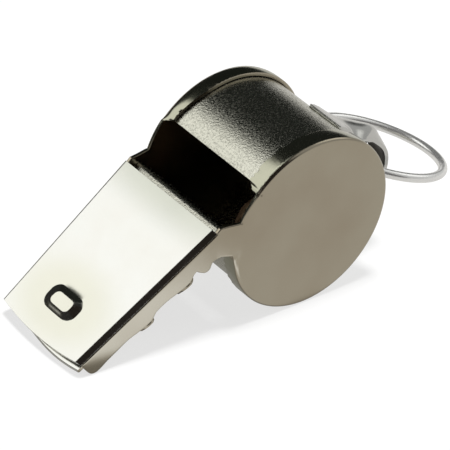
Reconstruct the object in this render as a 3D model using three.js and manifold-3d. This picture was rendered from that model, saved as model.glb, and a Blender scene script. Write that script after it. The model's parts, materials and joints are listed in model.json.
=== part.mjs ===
// Sheet-metal pea whistle with a wire lanyard ring.
// Millimetres. +X is the whistle's right side, the mouthpiece points to -Y, +Z is up.
// The whistle stands on the bottom of its chamber and on the lip of its mouthpiece, both at Z = 0.

import * as THREE from 'three';
import { mergeVertices } from 'three/addons/utils/BufferGeometryUtils.js';
import Module from 'manifold-3d';

const wasm = await Module();
wasm.setup();

// ---------- driving dimensions ----------

const GAP = 0.15;                    // clearance between neighbouring sheets

const CHAMBER_RADIUS = 11;           // side plates, over the flange
const CHAMBER_HALF_WIDTH = 9;        // centre plane to the outer face of a side plate
const AXIS_X = 0.93;                 // chamber middle, right of the whole object's, as the ring hangs left
const AXIS_Y = 1.95;                 // chamber axis, behind the middle of the whole object
const SHEET = 0.5;                   // thickness of the side plates, top plate and lug
const FLANGE_WIDTH = 2.2;            // side plate's turned-in rim, measured along X
const FLANGE_SHEET = 0.4;
const RIM_ROUNDING = 0.4;
const FLANGE_START = -51;            // degrees from the chamber's top, towards the mouthpiece
const FLANGE_END = -91;

const BARREL_SHEET = 0.45;
const BLADE_ANGLE = -47.5;           // straight edge that splits the air
const BARREL_END_ANGLE = -84;
const BLADE_BEVEL_ANGLE = 3.2;       // length of the ground bevel, as an angle round the barrel

const SLOPE = THREE.MathUtils.degToRad(35.2);   // mouthpiece against the table
const TIP_Y = -30.7;                 // top plate's front corners, from the chamber axis
const TIP_Z = -8.89;
const TOP_LENGTH = 20.95;            // top plate along its slope
const TOP_FOLD_RADIUS = 0.7;
const TOP_LIP = 0.85;                // how far down its rolled edges reach
const TOP_FRONT_BOW = 0.7;           // front edge bows out by this much
const TIP_HALF_WIDTH = 7.31;
const NECK_HALF_WIDTH = 8.25;
const NECK_FRONT_Y = -13.4;          // where the side plates start to flare out to the chamber
const NECK_REAR_Y = -9.6;
const NECK_OVERLAP_Y = -8.6;
const NECK_SLICES = 4;

const FLOOR_SHEET = 0.35;            // windway floor
const FLOOR_TOP = -1.55;             // below the top plate's face
const FLOOR_START = 1.9;
const FLOOR_END = 21.9;

const UNDERSIDE_SHEET = 0.4;
const RIB_DEPTH = 0.62;
const RIBS = [                       // tooth ribs: middle and half length along the slope
  { middle: 8.5, half: 1.6 },
  { middle: 14.85, half: 1.25 },
];

const BOSS = { x: -0.45, along: 4.0, width: 5.3, length: 3.1, height: 0.42, slope: 0.75 };

const LUG_FOOT_SIDES = [-0.5, 5.0];  // the lug sits a little to the right of the middle
const LUG_BOW_SIDES = [1.0, 4.1];    // and narrows from its feet to its bow
const LUG_TAPER = [7.6, 12.4];
const LUG_REAR_SIDES = [0.4, 4.5];
const LUG_START_ANGLE = 36;          // soldered feet, degrees from the chamber's top
const LUG_END_ANGLE = 106;

const RING_RADIUS = 8.27;            // centre line of the wire
const RING_WIRE = 0.55;
const RING_X = -2.04;
const RING_EYE_Y = 11.13;            // wire's centre line where it passes through the lug
const RING_EYE_Z = 0.2;
const RING_DROOP = THREE.MathUtils.degToRad(18.35);
const RING_TILT = THREE.MathUtils.degToRad(2.64);

const PEA_RADIUS = 5;
const PEA_CLEARANCE = 0.15;
const PEA_X = 3.2;                   // the loose pea has rolled towards the right side plate

// ---------- materials ----------

const nickel = () => new THREE.MeshStandardMaterial({ color: 0xc9c6ba, roughness: 0.2, metalness: 1 });
const dullNickel = () => new THREE.MeshStandardMaterial({ color: 0x9b988c, roughness: 0.35, metalness: 1 });
const chrome = () => new THREE.MeshStandardMaterial({ color: 0xd6d6d2, roughness: 0.1, metalness: 1 });
const solderMetal = () => new THREE.MeshStandardMaterial({ color: 0xb9b29c, roughness: 0.45, metalness: 1 });
const cork = () => new THREE.MeshStandardMaterial({ color: 0x9a7048, roughness: 0.9, metalness: 0 });

// ---------- solids ----------

function solid(geometry) {
  const bare = geometry.clone();
  bare.deleteAttribute('normal');
  bare.deleteAttribute('uv');
  const merged = mergeVertices(bare);
  return new wasm.Manifold(new wasm.Mesh({
    numProp: 3,
    vertProperties: new Float32Array(merged.attributes.position.array),
    triVerts: new Uint32Array(merged.index.array),
  }));
}

function meshOf(name, body, material) {
  const shell = body.getMesh();
  const geometry = new THREE.BufferGeometry();
  geometry.setAttribute('position', new THREE.BufferAttribute(new Float32Array(shell.vertProperties), 3));
  geometry.setIndex(new THREE.BufferAttribute(new Uint32Array(shell.triVerts), 1));
  geometry.computeVertexNormals();
  const mesh = new THREE.Mesh(geometry, material);
  mesh.name = name;
  return mesh;
}

// A shape drawn in (Y, Z), given a thickness along X.
function extrudeAlongX(shape, fromX, toX) {
  const geometry = new THREE.ExtrudeGeometry(shape, { depth: toX - fromX, bevelEnabled: false, curveSegments: 8 });
  const turn = new THREE.Matrix4().makeBasis(
    new THREE.Vector3(0, 1, 0),
    new THREE.Vector3(0, 0, 1),
    new THREE.Vector3(1, 0, 0),
  );
  geometry.applyMatrix4(turn);
  geometry.translate(fromX, 0, 0);
  return geometry;
}

// Point on a circle round the chamber axis; the angle runs from the top towards the back.
function onChamber(radius, degrees) {
  const angle = THREE.MathUtils.degToRad(degrees);
  return new THREE.Vector2(radius * Math.sin(angle), radius * Math.cos(angle));
}

function chamberArc(radius, fromDegrees, toDegrees, step = 3) {
  const count = Math.max(1, Math.round(Math.abs(toDegrees - fromDegrees) / step));
  const points = [];
  for (let i = 0; i <= count; i += 1) {
    points.push(onChamber(radius, fromDegrees + (toDegrees - fromDegrees) * i / count));
  }
  return points;
}

// Point of the mouthpiece: distance up its slope from the tip, and height over the top plate's face.
function onMouthpiece(along, height) {
  const y = TIP_Y + along * Math.cos(SLOPE) - height * Math.sin(SLOPE);
  const z = TIP_Z + along * Math.sin(SLOPE) + height * Math.cos(SLOPE);
  return new THREE.Vector2(y, z);
}

// Sheet of even thickness whose middle runs along a row of (Y, Z) points.
function sheetShape(points, thickness) {
  const left = [];
  const right = [];
  points.forEach((point, i) => {
    const before = points[Math.max(0, i - 1)];
    const after = points[Math.min(points.length - 1, i + 1)];
    const incoming = new THREE.Vector2().subVectors(point, before);
    const outgoing = new THREE.Vector2().subVectors(after, point);
    if (i === 0) incoming.copy(outgoing);
    if (i === points.length - 1) outgoing.copy(incoming);
    incoming.normalize();
    outgoing.normalize();
    const heading = new THREE.Vector2().addVectors(incoming, outgoing).normalize();
    const stretch = thickness / 2 / Math.max(0.5, heading.dot(incoming));
    const side = new THREE.Vector2(-heading.y, heading.x).multiplyScalar(stretch);
    left.push(new THREE.Vector2().addVectors(point, side));
    right.push(new THREE.Vector2().subVectors(point, side));
  });
  return new THREE.Shape([...right, ...left.reverse()]);
}

// Outer half width of the whistle at a distance behind the chamber axis.
function halfWidth(y) {
  if (y <= NECK_FRONT_Y) {
    const share = (y - TIP_Y) / (NECK_FRONT_Y - TIP_Y);
    return THREE.MathUtils.lerp(TIP_HALF_WIDTH, NECK_HALF_WIDTH, share);
  }
  const flare = THREE.MathUtils.smoothstep(y, NECK_FRONT_Y, NECK_REAR_Y);
  return THREE.MathUtils.lerp(NECK_HALF_WIDTH, CHAMBER_HALF_WIDTH, flare);
}

// Moves each side of a straight-sided solid in to the whistle's tapered sides.
function taper(geometry, yOf = (x, y) => y) {
  const position = geometry.attributes.position;
  for (let i = 0; i < position.count; i += 1) {
    const x = position.getX(i);
    const y = yOf(x, position.getY(i), position.getZ(i));
    position.setX(i, x - Math.sign(x) * (CHAMBER_HALF_WIDTH - halfWidth(y)));
  }
  return geometry;
}

// ---------- side plates ----------

function sidePlateCup(side) {
  const outer = CHAMBER_HALF_WIDTH;
  const profile = [new THREE.Vector2(0, outer - SHEET)];
  profile.push(new THREE.Vector2(CHAMBER_RADIUS - FLANGE_SHEET, outer - SHEET));
  profile.push(new THREE.Vector2(CHAMBER_RADIUS - FLANGE_SHEET, outer - FLANGE_WIDTH));
  profile.push(new THREE.Vector2(CHAMBER_RADIUS, outer - FLANGE_WIDTH));
  for (let i = 0; i <= 4; i += 1) {
    const angle = i / 4 * Math.PI / 2;
    profile.push(new THREE.Vector2(
      CHAMBER_RADIUS - RIM_ROUNDING + RIM_ROUNDING * Math.cos(angle),
      outer - RIM_ROUNDING + RIM_ROUNDING * Math.sin(angle),
    ));
  }
  profile.push(new THREE.Vector2(0, outer));
  profile.forEach((point) => { point.y *= side; });
  if (side < 0) profile.reverse();
  const cup = new THREE.LatheGeometry(profile, 120);
  cup.rotateZ(-Math.PI / 2);
  return solid(cup);
}

// The rim has no flange where the window and the mouthpiece meet the chamber.
function flangeOpening(side) {
  const inside = chamberArc(CHAMBER_RADIUS - 2, FLANGE_START, FLANGE_END);
  const outside = chamberArc(CHAMBER_RADIUS + 2, FLANGE_END, FLANGE_START);
  const near = side * (CHAMBER_HALF_WIDTH - FLANGE_WIDTH - 1);
  const far = side * (CHAMBER_HALF_WIDTH - SHEET);
  const shape = new THREE.Shape([...inside, ...outside]);
  return solid(extrudeAlongX(shape, Math.min(near, far), Math.max(near, far)));
}

function sideSheet(shape, side) {
  const near = side * (CHAMBER_HALF_WIDTH - SHEET);
  const far = side * CHAMBER_HALF_WIDTH;
  return solid(taper(extrudeAlongX(shape, Math.min(near, far), Math.max(near, far))));
}

const neckTop = (y) => 3.33 + (y - NECK_FRONT_Y) * 0.08;
const neckBottom = (y) => -0.1 - (y - NECK_FRONT_Y) * 0.12;

function neckSlice(fromY, toY) {
  return new THREE.Shape([
    new THREE.Vector2(fromY, neckBottom(fromY)),
    new THREE.Vector2(toY, neckBottom(toY)),
    new THREE.Vector2(toY, neckTop(toY)),
    new THREE.Vector2(fromY, neckTop(fromY)),
  ]);
}

// Mouthpiece cheek: straight under the top plate, with a rounded heel in front of the chamber.
function cheekShape() {
  const heel = new THREE.SplineCurve([
    onMouthpiece(16.25, -2.3),
    onMouthpiece(16.7, -2.9),
    onMouthpiece(17.5, -3.08),
    new THREE.Vector2(NECK_FRONT_Y, neckBottom(NECK_FRONT_Y)),
  ]);
  const topRear = NECK_FRONT_Y;
  const seamHeight = -TOP_LIP - GAP;
  const rearAlong = (topRear - TIP_Y + seamHeight * Math.sin(SLOPE)) / Math.cos(SLOPE);
  return new THREE.Shape([
    onMouthpiece(0.05, seamHeight),
    onMouthpiece(0, -2.3),
    onMouthpiece(0.5, -2.75),
    onMouthpiece(1.6, -2.8),
    onMouthpiece(7, -2.68),
    ...heel.getPoints(10),
    onMouthpiece(rearAlong, seamHeight),
  ]);
}

// The seat that the side plates leave for the top plate's rolled edges.
function topPlateSeat() {
  const depth = 3;
  const seat = new THREE.BoxGeometry(CHAMBER_HALF_WIDTH * 3, TOP_LENGTH * 2, depth);
  seat.translate(0, GAP, depth / 2 - TOP_LIP - GAP);
  seat.rotateX(SLOPE);
  seat.translate(0, TIP_Y, TIP_Z);
  return solid(seat);
}

function sidePlate(name, side) {
  let plate = sidePlateCup(side).subtract(flangeOpening(side));
  plate = plate.add(sideSheet(cheekShape(), side));
  const flareStep = (NECK_REAR_Y - NECK_FRONT_Y) / NECK_SLICES;
  for (let i = 0; i < NECK_SLICES; i += 1) {
    const fromY = NECK_FRONT_Y + i * flareStep;
    plate = plate.add(sideSheet(neckSlice(fromY, fromY + flareStep), side));
  }
  plate = plate.add(sideSheet(neckSlice(NECK_REAR_Y, NECK_OVERLAP_Y), side));
  plate = plate.subtract(topPlateSeat());
  return meshOf(name, plate, nickel());
}

// ---------- barrel ----------

function barrelStrip() {
  const outer = CHAMBER_RADIUS - FLANGE_SHEET - GAP;
  const inner = outer - BARREL_SHEET;
  const end = BARREL_END_ANGLE + 360;
  const shape = new THREE.Shape([
    ...chamberArc(outer, end, BLADE_ANGLE),
    ...chamberArc(inner, BLADE_ANGLE + BLADE_BEVEL_ANGLE, end),
  ]);
  const half = CHAMBER_HALF_WIDTH - SHEET - GAP;
  return meshOf('barrel_strip', solid(extrudeAlongX(shape, -half, half)), dullNickel());
}

// ---------- mouthpiece ----------

// Cross-section with both edges rolled down, drawn with X across and height up.
function topSection() {
  const half = CHAMBER_HALF_WIDTH;
  const radius = TOP_FOLD_RADIUS;
  const innerRadius = radius - SHEET;
  const shape = new THREE.Shape();
  shape.moveTo(-half, -TOP_LIP);
  shape.lineTo(-half + SHEET, -TOP_LIP);
  shape.lineTo(-half + SHEET, -radius);
  shape.absarc(-half + radius, -radius, innerRadius, Math.PI, Math.PI / 2, true);
  shape.absarc(half - radius, -radius, innerRadius, Math.PI / 2, 0, true);
  shape.lineTo(half - SHEET, -TOP_LIP);
  shape.lineTo(half, -TOP_LIP);
  shape.absarc(half - radius, -radius, radius, 0, Math.PI / 2, false);
  shape.absarc(-half + radius, -radius, radius, Math.PI / 2, Math.PI, false);
  return shape;
}

// Everything ahead of the bowed front edge, to be cut away.
function frontTrim() {
  const chord = TIP_HALF_WIDTH;
  const bow = TOP_FRONT_BOW;
  const radius = (chord * chord + bow * bow) / (2 * bow);
  const reach = Math.asin(chord / radius);
  const wide = CHAMBER_HALF_WIDTH + 2;
  const shape = new THREE.Shape();
  shape.moveTo(-wide, -4);
  shape.lineTo(wide, -4);
  shape.lineTo(wide, 0);
  shape.lineTo(chord, 0);
  shape.absarc(0, radius - bow, radius, -Math.PI / 2 + reach, -Math.PI / 2 - reach, true);
  shape.lineTo(-wide, 0);
  const geometry = new THREE.ExtrudeGeometry(shape, { depth: 6, bevelEnabled: false, curveSegments: 12 });
  geometry.translate(0, 0, -3);
  return solid(geometry);
}

// Raised tooth-grip pad: a rounded rectangle with sloping walls.
function gripBoss() {
  const halfX = BOSS.width / 2 - BOSS.slope;
  const halfY = BOSS.length / 2 - BOSS.slope;
  const corner = halfY * 0.8;
  const shape = new THREE.Shape();
  shape.moveTo(-halfX + corner, -halfY);
  shape.absarc(halfX - corner, -halfY + corner, corner, -Math.PI / 2, 0, false);
  shape.absarc(halfX - corner, halfY - corner, corner, 0, Math.PI / 2, false);
  shape.absarc(-halfX + corner, halfY - corner, corner, Math.PI / 2, Math.PI, false);
  shape.absarc(-halfX + corner, -halfY + corner, corner, Math.PI, Math.PI * 1.5, false);
  const geometry = new THREE.ExtrudeGeometry(shape, {
    depth: 0.2,
    bevelThickness: BOSS.height,
    bevelSize: BOSS.slope,
    bevelSegments: 2,
    curveSegments: 6,
  });
  geometry.translate(BOSS.x, BOSS.along, -0.2);
  const keep = new THREE.BoxGeometry(BOSS.width * 2, BOSS.length * 2, 2);
  keep.translate(BOSS.x, BOSS.along, 1 - SHEET / 2);
  return solid(geometry).intersect(solid(keep));
}

function mouthpieceTop() {
  const length = TOP_LENGTH + 2;
  const geometry = new THREE.ExtrudeGeometry(topSection(), { depth: length, bevelEnabled: false, curveSegments: 5 });
  geometry.rotateX(Math.PI / 2);
  geometry.translate(0, TOP_LENGTH, 0);
  taper(geometry, (x, along, height) => onMouthpiece(along, height).x);
  const plate = solid(geometry).subtract(frontTrim()).add(gripBoss());
  const mesh = meshOf('mouthpiece_top', plate, nickel());
  mesh.position.set(0, TIP_Y, TIP_Z);
  mesh.rotation.x = SLOPE;
  return mesh;
}

// A strip that fits between the cheeks, following their taper.
function stripBetweenCheeks(shape) {
  const half = CHAMBER_HALF_WIDTH - SHEET - GAP;
  return solid(taper(extrudeAlongX(shape, -half, half)));
}

function windwayFloor() {
  const height = FLOOR_TOP - FLOOR_SHEET / 2;
  const run = [
    onMouthpiece(FLOOR_START, height),
    onMouthpiece(FLOOR_END - 3, height),
    onMouthpiece(FLOOR_END, height),
  ];
  return meshOf('windway_floor', stripBetweenCheeks(sheetShape(run, FLOOR_SHEET)), dullNickel());
}

// Underside: lip, tooth ribs pressed outwards, then a level run back to the barrel.
function undersideRun() {
  const level = -2.25;
  const run = [
    onMouthpiece(-0.62, -1.82),
    onMouthpiece(0.4, -1.95),
    onMouthpiece(1.6, level),
  ];
  RIBS.forEach((rib) => {
    run.push(onMouthpiece(rib.middle - rib.half, level));
    for (let i = -2; i <= 2; i += 1) {
      const bulge = RIB_DEPTH * Math.cos(i / 3 * Math.PI / 2);
      run.push(onMouthpiece(rib.middle + rib.half * i / 3, level - bulge));
    }
    run.push(onMouthpiece(rib.middle + rib.half, level));
  });
  run.push(onMouthpiece(17.6, level));
  run.push(onMouthpiece(18.6, level - 0.05));
  run.push(new THREE.Vector2(-12.6, 0.35));
  run.push(new THREE.Vector2(-CHAMBER_RADIUS + 0.1, 0.25));
  return run;
}

function undersidePlate() {
  const shape = sheetShape(undersideRun(), UNDERSIDE_SHEET);
  return meshOf('underside_plate', stripBetweenCheeks(shape), dullNickel());
}

// ---------- lug, ring and pea ----------

// Folded strap: soldered foot, ramp off the barrel, round bow, level return and lower foot.
function lugRun() {
  const foot = CHAMBER_RADIUS - FLANGE_SHEET + SHEET / 2;
  const bow = new THREE.CatmullRomCurve3([
    new THREE.Vector3(8.3, 7.4, 0),
    new THREE.Vector3(10.6, 6.4, 0),
    new THREE.Vector3(13.15, 5.15, 0),
    new THREE.Vector3(14.2, 3.7, 0),
    new THREE.Vector3(14.95, 2.2, 0),
    new THREE.Vector3(15.29, 0.7, 0),
    new THREE.Vector3(15.15, -0.8, 0),
    new THREE.Vector3(14.2, -1.75, 0),
    new THREE.Vector3(12.4, -2.15, 0),
  ]);
  return [
    ...chamberArc(foot, LUG_START_ANGLE, LUG_START_ANGLE + 6),
    ...bow.getPoints(20).map((point) => new THREE.Vector2(point.x, point.y)),
    ...chamberArc(foot, LUG_END_ANGLE - 3, LUG_END_ANGLE),
  ];
}

// Outline of the lug seen from above: wide feet on the barrel and a narrower bow.
function lugPlan() {
  const near = CHAMBER_RADIUS * 0.2;
  const far = CHAMBER_RADIUS * 2;
  return new THREE.Shape([
    new THREE.Vector2(LUG_FOOT_SIDES[0], near),
    new THREE.Vector2(LUG_FOOT_SIDES[1], near),
    new THREE.Vector2(LUG_FOOT_SIDES[1], LUG_TAPER[0]),
    new THREE.Vector2(LUG_BOW_SIDES[1], LUG_TAPER[1]),
    new THREE.Vector2(LUG_BOW_SIDES[1], far),
    new THREE.Vector2(LUG_BOW_SIDES[0], far),
    new THREE.Vector2(LUG_BOW_SIDES[0], LUG_TAPER[1]),
    new THREE.Vector2(LUG_FOOT_SIDES[0], LUG_TAPER[0]),
  ]);
}

function ringLug() {
  const strap = solid(extrudeAlongX(sheetShape(lugRun(), SHEET), LUG_FOOT_SIDES[0], LUG_FOOT_SIDES[1]));
  const plan = new THREE.ExtrudeGeometry(lugPlan(), { depth: 2 * CHAMBER_RADIUS, bevelEnabled: false });
  plan.translate(0, 0, -CHAMBER_RADIUS);
  return meshOf('ring_lug', strap.intersect(solid(plan)), nickel());
}

// Solder fillet between the barrel and the cut end of a lug foot.
function solderFillet(name, degrees, direction, sides) {
  const base = CHAMBER_RADIUS - FLANGE_SHEET;
  const startAngle = degrees + direction;
  const corners = [
    onChamber(base, startAngle),
    onChamber(base, startAngle + direction * 3),
    onChamber(base + SHEET * 0.7, startAngle),
  ];
  if (direction < 0) {
    corners.reverse();
  }
  const fillet = solid(extrudeAlongX(new THREE.Shape(corners), sides[0], sides[1]));
  return meshOf(name, fillet, solderMetal());
}

// The ring crosses the lug almost squarely and droops until it rests on the lug's lower leg.
function wireRing() {
  const mesh = new THREE.Mesh(new THREE.TorusGeometry(RING_RADIUS, RING_WIRE, 12, 72), chrome());
  mesh.name = 'wire_ring';
  mesh.position.set(
    RING_X,
    RING_EYE_Y + RING_RADIUS * Math.cos(RING_DROOP),
    RING_EYE_Z - RING_RADIUS * Math.sin(RING_DROOP),
  );
  mesh.rotation.set(-RING_DROOP, -RING_TILT, 0);
  return mesh;
}

function pea() {
  const barrelInside = CHAMBER_RADIUS - FLANGE_SHEET - GAP - BARREL_SHEET;
  const mesh = new THREE.Mesh(new THREE.SphereGeometry(PEA_RADIUS, 28, 18), cork());
  mesh.name = 'pea';
  mesh.position.set(PEA_X, 0, -(barrelInside - PEA_CLEARANCE - PEA_RADIUS));
  return mesh;
}

// ---------- whistle ----------

const whistle = new THREE.Group();
whistle.position.set(AXIS_X, AXIS_Y, CHAMBER_RADIUS);
whistle.add(sidePlate('side_plate_right', 1));
whistle.add(sidePlate('side_plate_left', -1));
whistle.add(barrelStrip());
whistle.add(mouthpieceTop());
whistle.add(windwayFloor());
whistle.add(undersidePlate());
whistle.add(ringLug());
whistle.add(solderFillet('lug_solder_front', LUG_START_ANGLE, -1, LUG_FOOT_SIDES));
whistle.add(solderFillet('lug_solder_rear', LUG_END_ANGLE, 1, LUG_REAR_SIDES));
whistle.add(wireRing());
whistle.add(pea());

export default whistle;
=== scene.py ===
# Sheet-metal pea whistle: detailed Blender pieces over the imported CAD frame.
import json
import math

import bmesh
import bpy
from mathutils import Matrix, Vector, noise
from mathutils.geometry import delaunay_2d_cdt


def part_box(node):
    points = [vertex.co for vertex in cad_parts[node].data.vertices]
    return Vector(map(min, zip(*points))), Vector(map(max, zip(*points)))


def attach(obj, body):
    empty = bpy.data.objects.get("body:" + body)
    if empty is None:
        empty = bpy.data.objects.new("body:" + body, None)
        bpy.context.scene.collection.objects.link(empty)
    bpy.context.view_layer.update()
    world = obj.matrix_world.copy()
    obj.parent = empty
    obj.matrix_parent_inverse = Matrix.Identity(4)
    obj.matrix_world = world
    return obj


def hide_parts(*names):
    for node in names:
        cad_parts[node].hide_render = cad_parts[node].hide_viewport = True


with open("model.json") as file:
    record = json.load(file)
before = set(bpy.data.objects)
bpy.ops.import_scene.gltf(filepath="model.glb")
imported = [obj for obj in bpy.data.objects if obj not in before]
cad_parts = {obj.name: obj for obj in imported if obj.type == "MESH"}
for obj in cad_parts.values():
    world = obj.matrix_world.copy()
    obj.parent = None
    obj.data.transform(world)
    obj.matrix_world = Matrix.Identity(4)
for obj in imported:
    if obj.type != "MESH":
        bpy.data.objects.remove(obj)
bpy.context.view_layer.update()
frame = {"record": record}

MM = 0.001


# ---------- driving dimensions, in millimetres, in the frame of the chamber axis ----------

def joint_position(name):
    for joint in frame["record"]["behaviour"]["joints"]:
        if joint["name"] == name:
            return Vector(joint["pos_m"]) / MM
    raise KeyError(name)


side_low, side_high = (Vector(corner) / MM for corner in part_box("side_plate_right"))
AXIS = joint_position("pea_orbit")
RIGHT, LEFT = 1, -1

HALF_WIDTH = side_high.x - AXIS.x    # centre plane to the outer face of a side plate
RADIUS = side_high.z - AXIS.z        # side plates, over the flange
SHEET = 0.5                          # side plates, top plate and lug
SEAM = 0.06                          # gap between neighbouring sheets
ARC_STEP = 1.5                       # degrees between the points of a chamber arc

FLANGE_WIDTH = side_high.x - side_low.x
FLANGE_SHEET = 0.4
FLANGE_START, FLANGE_END = -51.2, -91.0     # degrees from the chamber's top, towards the mouthpiece
FLANGE_CORNER = 4.2                  # degrees over which the rim grows from a bare edge to its full width
FLANGE_CORNER_STEPS = 10
FLANGE_CUT = 0.55                    # the left rim is narrower by this much at its front,
FLANGE_CUT_ANGLES = (-50, -15)       # fading out between these degrees,
FLANGE_LEAST = 0.1                   # and keeps at least this much past the sheet
FLANGE_FACES_Y = -10.9               # the flange's own finish, its own scratches on a darker copy of the nickel as painted shade, stops here, at the neck, and is on faces that face outwards and not sideways
FLANGE_FACING = 0.3                  # and is on faces that face outwards and not sideways
RIM_ROUNDING = 0.42                  # the rim's rounding, measured in over the disc
RIM_CROWN = {RIGHT: 0.42, LEFT: 1.25}       # and measured across the flange
RIM_CROWN_SHARE = 0.7                # of the flange's width, at most
EDGE_ROUNDING = 0.12                 # cheek and neck edges
ROUNDING_STEPS = 6
EDGE_CHAMFER = 0.1                   # a flange's free edge
EDGE_BORDER = 0.2                    # flat border that ties a rounded edge to the face
FILL_SPACING = 0.8                   # inner mesh points of a side plate's faces
FILL_CLEARANCE = 0.25                # and how near they come to the outline

BARREL_RADIUS = 10.47
BARREL_SHEET = 0.47
BARREL_GAP = 0.02                    # between the strip's edges and the side plates
BARREL_STEP = 1.0                    # degrees between its points
BARREL_SLICES = 16
BLADE_ANGLE = -47.5                  # straight edge that splits the air
BLADE_BEVEL = 3.2                    # length of the ground bevel, in degrees
BARREL_END = -84.0

SLOPE = math.radians(35.2)           # mouthpiece against the table
TIP_Y, TIP_Z = -30.7, -8.89          # top plate's front corners
TOP_LENGTH = 20.95                   # top plate along its slope
FOLD_RADIUS = {RIGHT: 0.8, LEFT: 0.38}      # its rolled edges
FOLD_END = math.radians(66)
FOLD_STEPS = 8
FRONT_BOW = 0.7                      # its front edge bows out by this much
TIP_HALF_WIDTH = 7.31
NECK_HALF_WIDTH = {RIGHT: 8.25, LEFT: 8.7}
NECK_FRONT_Y = -13.4                 # the side plates flare out from here
NECK_FLARE_START = 9.6               # to this distance from the chamber axis,
NECK_FADE_BELOW = (0.6, 2.4)         # and over the disc the narrowing fades out below the neck
NECK_FADE_ABOVE = (3.5, 6.5)         # and above it
NECK_TOP, NECK_TOP_RISE = 3.33, 0.08        # height of the neck's edges at its front, and their slope
NECK_BOTTOM, NECK_BOTTOM_FALL = -0.38, 0.12
NECK_JUNCTION_Y = -10.93             # where the neck's lower edge meets the disc
WINDOW_SPOTS_Y = (-12.9, -10.5)      # upper edge of the neck, beside the window

GRID_HALF = 8.0                      # half width on which the top plate's mesh is laid out
GRID_MARGIN = 0.1
GRID_COARSE, GRID_FINE = 0.8, 0.1    # its spacing, away from the boss and round it
BOSS_GRID_X, BOSS_GRID_ALONG = (-3.8, 3.0), (1.9, 6.1)

FLOOR_SHEET = 0.35                   # windway floor
FLOOR_TOP = -1.55                    # below the top plate's face
FLOOR_START = 1.9
FLOOR_BEND, FLOOR_BEND_RADIUS = 21.5, 0.6   # its rear edge turns down
FLOOR_BEND_ANGLE = math.radians(60)
BEND_STEPS = 8
CHEEK_SLICES = 12

UNDERSIDE_SHEET = 0.24
UNDERSIDE_LEVEL = -2.25              # middle of the sheet between the ribs
UNDERSIDE_START, UNDERSIDE_STEP, UNDERSIDE_STEPS = 1.7, 0.25, 60
UNDERSIDE_SLICES = 24
LIP_TOP, LIP_BOTTOM, LIP_FRONT = -1.25, -1.72, -1.26
LIP_STEPS = 12
LIP_SET_BACK, LIP_SQUARE_X = 0.95, 5.8      # the lip runs square at the right, and draws back to the left
LIP_SET_BACK_RATE = 0.0125
LIP_SHIFT_RANGE = (0.2, 1.7)         # the front edge's bow fades out along this stretch
LIP_METAL_LENGTH = 1.6               # the folded lip is as bright as the top plate
RIBS = ((5.4, 8.8, 10.4), (11.3, 14.9, 16.4))      # start, crest and end along the slope
RIB_CREST_LENGTH = 0.3
RIB_GAP = 0.06
CHEEK_LEVEL, CHEEK_LEVEL_ALONG, CHEEK_RISE = -2.85, 7, 0.025    # line of a cheek's lower edge
CHEEK_BULGE = 0.55                   # and how far it drops at a rib
CHEEK_LAP = 0.05                     # the underside sheet reaches full width this far below it
CHEEK_STEP, CHEEK_STEPS = 0.35, 40
HEEL_START = 16.6

BOSS_X, BOSS_ALONG = -0.43, 4.0      # raised grip pad
BOSS_FOOT = (2.7, 1.58, 1.25)        # half sizes and corner radius where it rises
BOSS_FLAT = (1.55, 0.83, 0.7)        # and of its flat top
BOSS_HEIGHT = 0.42
BOSS_STRAIGHT = 0.7                  # share of its wall that is straight and not S-shaped

LUG_FOOT_SIDES = (-0.5, 5.0)         # the lug sits a little to the right of the middle,
LUG_BOW_SIDES = (1.0, 4.1)           # and narrows from its feet to its bow,
LUG_TAPER = ((7.2, 12.8), (11.0, 14.6))     # along these stretches of y, left and right
LUG_REAR_SIDES = (0.4, 4.5)
LUG_START, LUG_END = 36.0, 106.0     # soldered feet, degrees from the chamber's top
LUG_FOOT_DEGREES, LUG_REAR_DEGREES = 7, 3   # their lengths
LUG_EDGE, LUG_EDGE_DEGREES = 0.34, 5.0      # thinned front edge
LUG_LIFT = 0.02                      # solder under the feet
LUG_SLICES = 10
LUG_CROWN = 1.35                     # its edges bend down by this much,
LUG_CROWN_RISE, LUG_CROWN_EASE, LUG_CROWN_FALL = (43, 56), (66, 84), (92, 100)     # between these degrees
LUG_CROWN_EASING = 0.8
LUG_HOLLOW = (12.0, 2.0)             # (y, z) inside the bow: faces turned to it get painted shade, a near-black nickel, behind this y, if they face it this squarely
LUG_HOLLOW_Y, LUG_HOLLOW_FACING = 8.0, 0.3  # behind this y, if they face it this squarely

BEAD_STEPS, BEAD_SIDES = 32, 8       # solder fillets
BEAD_REACH, BEAD_BACK = 1.3, 0.2     # degrees beyond the foot's end, and back over it
BEAD_RISE, BEAD_SINK = 0.24, 0.02
BEAD_SWELL, BEAD_SWELL_SCALE = 0.35, 1.3
BEAD_END_POWER, BEAD_END_LEAST = 6, 0.02

RING_RADIUS, RING_WIRE = 8.258, 0.55
RING_EYE = (-2.04, 11.13, 0.2)       # wire's middle where it passes through the lug
RING_DROOP = math.radians(18.35)
RING_TILT = math.radians(2.64)
RING_STEPS, WIRE_STEPS = 160, 20
PEA_RADIUS, PEA_SHRINK = 5.0, 0.06
PEA_LUMPS = ((0.10, 0.7), (0.05, 3.0))      # height and scale of the cork's lumps
PEA_LUMP_LIMIT = 0.05
PEA_PITS, PEA_PIT_SCALE, PEA_PIT_RANGE = -0.12, 2.2, (0.25, 0.5)

# ---------- camera ----------

CAMERA_AZIMUTH = math.radians(48.69)
CAMERA_ELEVATION = math.radians(34.44)
CAMERA_ROLL = math.radians(5.93)
CAMERA_DISTANCE = 0.445
CAMERA_AIM = Vector((0.00357, -0.00549, 0.0097))
CAMERA_LENS = 314.6


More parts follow.
